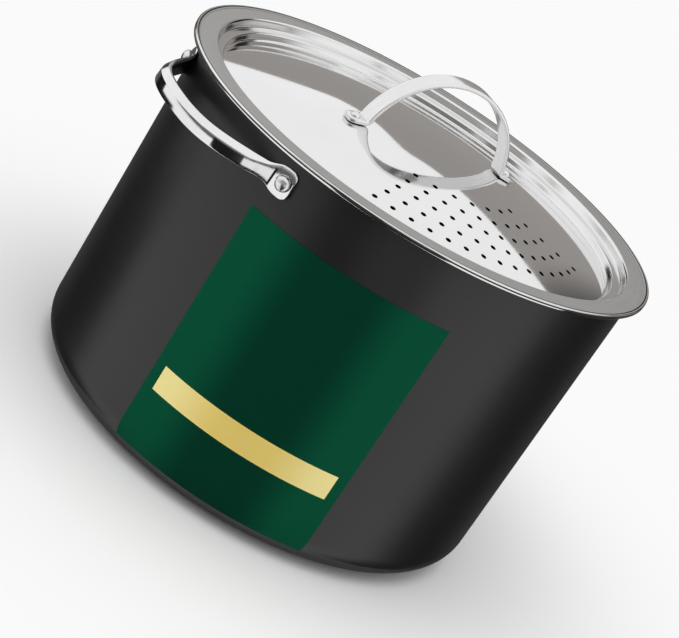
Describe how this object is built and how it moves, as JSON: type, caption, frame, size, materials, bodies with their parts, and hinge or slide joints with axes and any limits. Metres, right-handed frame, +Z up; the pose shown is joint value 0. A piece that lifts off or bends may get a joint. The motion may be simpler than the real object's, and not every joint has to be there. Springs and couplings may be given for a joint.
{
  "type": "pasta pot with strainer lid",
  "caption": "Tall straight-sided dark pot with riveted steel loop handles and a domed steel strainer lid that twists to lock under the rim and lifts off by its arched handle.",
  "frame": {"origin": "centre of the base disc's underside, where the pot stands", "axes": "+Z up along the pot's axis, +X through the middle of the right side handle, and -Y within a few degrees of the middle of the strainer holes"},
  "size_m": [0.298, 0.2594, 0.218],
  "materials": {
    "dark_coat": "dark grey satin coating",
    "base_steel": "satin",
    "handle_steel": "polished",
    "lid_steel": "mirror polished, satin on the flange"
  },
  "bodies": {
    "pot": {"pot_body": "dark_coat", "base_disc": "base_steel", "left_handle": "handle_steel", "left_rivet_far": "handle_steel", "left_rivet_near": "handle_steel", "right_handle": "handle_steel", "right_rivet_far": "handle_steel", "right_rivet_near": "handle_steel"},
    "lid_rim": {"lid_rim_band": "lid_steel"},
    "lid": {"lid_plate": "lid_steel", "lid_handle": "handle_steel", "lid_rivet_left": "handle_steel", "lid_rivet_right": "handle_steel"}
  },
  "joints": [
    {"name": "lid_lift", "type": "slide", "parent": "pot", "child": "lid_rim", "axis": [0, 0, 1], "range_m": [0, 0.12]},
    {"name": "lid_twist", "type": "hinge", "parent": "lid_rim", "child": "lid", "pos_m": [0, 0, 0.1753], "axis": [0, 0, 1], "range_deg": [-20, 0]}
  ]
}
